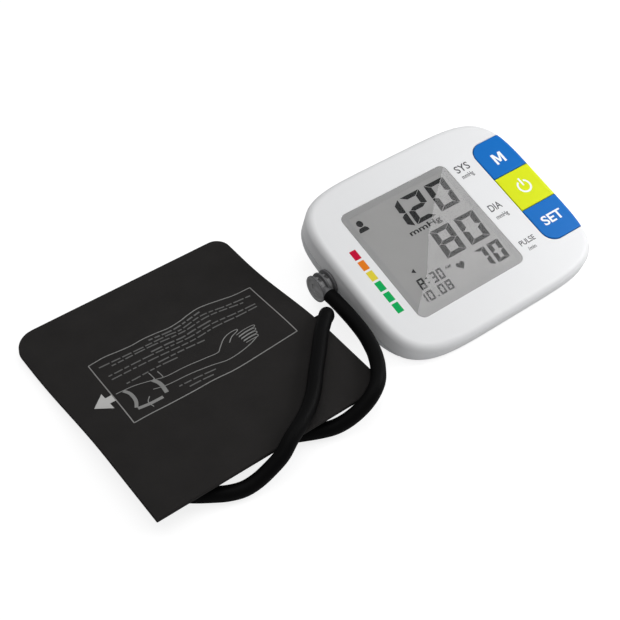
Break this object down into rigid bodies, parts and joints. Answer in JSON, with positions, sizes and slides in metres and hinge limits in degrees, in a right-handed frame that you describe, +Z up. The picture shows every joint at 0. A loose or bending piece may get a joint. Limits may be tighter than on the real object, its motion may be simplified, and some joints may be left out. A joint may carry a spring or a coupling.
{
  "type": "upper arm blood pressure monitor",
  "caption": "Desk blood pressure monitor with a tilted display, pump and valve inside, soft air hose and a folded upper arm cuff.",
  "frame": {"origin": "on the table, at the middle of the rectangle that the desk unit and the folded cuff cover, without the hose", "axes": "+X from the cuff to the desk unit, +Y to the back, +Z up"},
  "size_m": [0.301, 0.1568, 0.0419],
  "materials": {
    "white_plastic": "fine satin moulding",
    "light_grey_plastic": "fine satin moulding",
    "grey_plastic": "satin",
    "black_plastic": "satin",
    "blue_plastic": "satin",
    "lime_plastic": "satin",
    "window_pane": "clear hard coat",
    "lcd_glass": "grey display glass",
    "board": "solder resist",
    "steel": "plated",
    "cell_case": "printed sleeve",
    "black_rubber": "satin",
    "grey_rubber": "matte",
    "tube_rubber": "satin",
    "bladder_film": "smooth",
    "cuff_cloth": "close woven nylon",
    "cuff_lining": "brushed"
  },
  "bodies": {
    "monitor": {"top_cover": "white_plastic", "bottom_cover": "light_grey_plastic", "display_window": "window_pane", "lcd_panel": "lcd_glass", "lcd_holder": "white_plastic", "lcd_connector": "tube_rubber", "circuit_board": "board", "control_chip": "black_plastic", "buzzer": "black_plastic", "key_switches": "black_plastic", "pump_motor": "steel", "pump_head": "white_plastic", "pump_sleeve": "black_rubber", "release_valve": "steel", "pressure_sensor": "white_plastic", "air_manifold": "white_plastic", "air_socket": "grey_plastic", "socket_tube": "tube_rubber", "pump_tube": "tube_rubber", "valve_tube": "tube_rubber", "sensor_tube": "tube_rubber", "battery_cells": "cell_case", "battery_springs": "steel", "battery_plates": "steel", "rubber_feet": "grey_rubber", "housing_screws": "steel", "board_screws": "steel"},
    "memory_key": {"memory_button": "blue_plastic", "memory_plunger": "black_plastic"},
    "power_key": {"power_button": "lime_plastic", "power_plunger": "black_plastic"},
    "set_key": {"set_button": "blue_plastic", "set_plunger": "black_plastic"},
    "battery_door": {"battery_cover": "light_grey_plastic"},
    "cuff_set": {"air_plug": "grey_plastic", "plug_seal": "black_rubber", "hose": "black_rubber", "cuff_elbow": "black_rubber", "bladder": "bladder_film", "cuff_outer_cloth": "cuff_cloth", "cuff_inner_cloth": "cuff_lining", "hook_patch": "cuff_lining"}
  },
  "joints": [
    {"name": "memory_press", "type": "slide", "parent": "monitor", "child": "memory_key", "axis": [0, 0.2823, -0.9593], "range_m": [0, 0.0005], "stiffness_N_per_m": 1500},
    {"name": "power_press", "type": "slide", "parent": "monitor", "child": "power_key", "axis": [0, 0.2823, -0.9593], "range_m": [0, 0.0005], "stiffness_N_per_m": 1500},
    {"name": "set_press", "type": "slide", "parent": "monitor", "child": "set_key", "axis": [0, 0.2823, -0.9593], "range_m": [0, 0.0005], "stiffness_N_per_m": 1500},
    {"name": "battery_cover_slide", "type": "slide", "parent": "monitor", "child": "battery_door", "axis": [0, 1, 0], "range_m": [0, 0.014]},
    {"name": "plug_pull", "type": "slide", "parent": "monitor", "child": "cuff_set", "axis": [-1, 0, 0], "range_m": [0, 0.014]}
  ]
}
